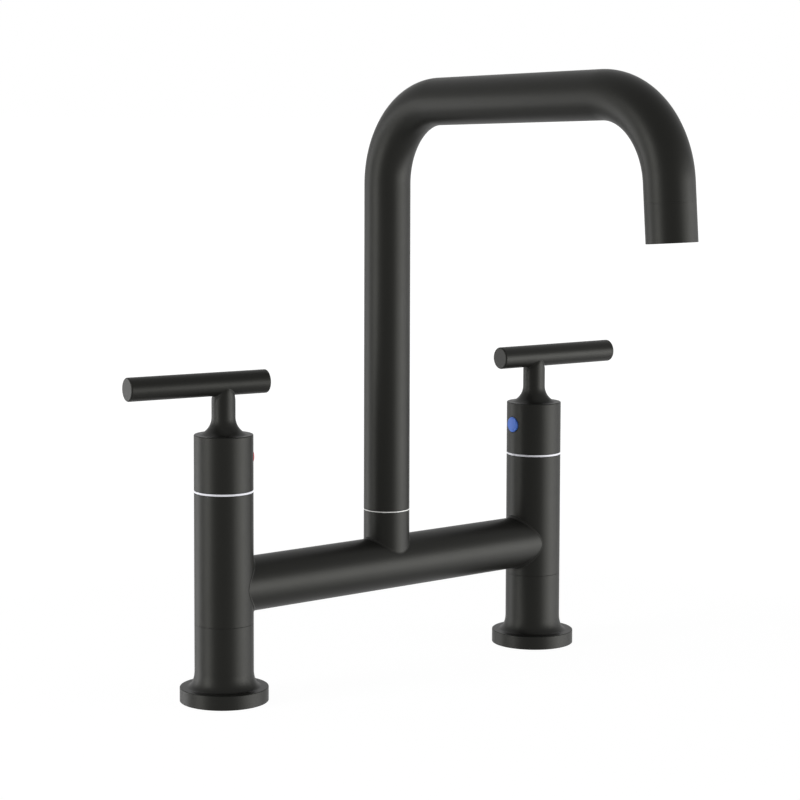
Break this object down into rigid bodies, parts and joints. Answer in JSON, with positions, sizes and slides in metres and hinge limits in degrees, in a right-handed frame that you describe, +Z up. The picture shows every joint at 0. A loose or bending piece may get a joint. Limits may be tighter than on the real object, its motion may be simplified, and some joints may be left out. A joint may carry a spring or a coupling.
{
  "type": "bridge kitchen faucet",
  "caption": "Matte black bridge kitchen faucet with a square-arched swivel spout and T-bar quarter-turn levers on columns with flared feet.",
  "frame": {"origin": "on the deck plane, midway between the two columns, where the faucet stands", "axes": "+X from the hot column to the cold column, along the bridge; -Y out over the sink, along the spout; +Z up"},
  "size_m": [0.3051, 0.2313, 0.305],
  "materials": {
    "matte_black": "fine satin-matte black coat",
    "pale_plastic": "smooth pale plastic",
    "brass": "machined",
    "rubber": "soft matte",
    "ceramic": "lapped ceramic",
    "steel": "plain stainless steel",
    "screen_grey": "moulded grey plastic",
    "hot_red": "smooth red plastic",
    "cold_blue": "smooth blue plastic"
  },
  "bodies": {
    "base": {"hot_foot": "matte_black", "cold_foot": "matte_black", "hot_deck_gasket": "rubber", "cold_deck_gasket": "rubber", "hot_column_body": "matte_black", "cold_column_body": "matte_black", "hot_joint_seal": "rubber", "cold_joint_seal": "rubber", "hot_seat_seal": "rubber", "cold_seat_seal": "rubber", "hot_cartridge_barrel": "brass", "cold_cartridge_barrel": "brass", "hot_fixed_disc": "ceramic", "cold_fixed_disc": "ceramic", "hot_bonnet_nut": "brass", "cold_bonnet_nut": "brass", "hot_glide_ring": "pale_plastic", "cold_glide_ring": "pale_plastic", "bridge_tube": "matte_black", "spout_socket": "matte_black", "swivel_bush": "pale_plastic"},
    "hot_handle": {"hot_moving_disc": "ceramic", "hot_spindle": "brass", "hot_spindle_seals": "rubber", "hot_handle_cap": "matte_black", "hot_lever_bar": "matte_black", "hot_grub_screw": "steel", "hot_index_button": "hot_red"},
    "cold_handle": {"cold_moving_disc": "ceramic", "cold_spindle": "brass", "cold_spindle_seals": "rubber", "cold_handle_cap": "matte_black", "cold_lever_bar": "matte_black", "cold_grub_screw": "steel", "cold_index_button": "cold_blue"},
    "spout": {"spout_nipple": "brass", "nipple_seals": "rubber", "snap_ring": "steel", "spout_tube": "matte_black", "nozzle": "matte_black", "aerator_washer": "rubber", "aerator_ring": "matte_black", "aerator_insert": "pale_plastic", "outlet_screen": "screen_grey"}
  },
  "joints": [
    {"name": "spout_swivel", "type": "hinge", "parent": "base", "child": "spout", "pos_m": [0, 0, 0.0828], "axis": [0, 0, 1], "continuous": true},
    {"name": "hot_lever_turn", "type": "hinge", "parent": "base", "child": "hot_handle", "pos_m": [-0.1016, 0, 0.103], "axis": [0, 0, 1], "range_deg": [0, 90]},
    {"name": "cold_lever_turn", "type": "hinge", "parent": "base", "child": "cold_handle", "pos_m": [0.1016, 0, 0.103], "axis": [0, 0, 1], "range_deg": [-90, 0]}
  ]
}
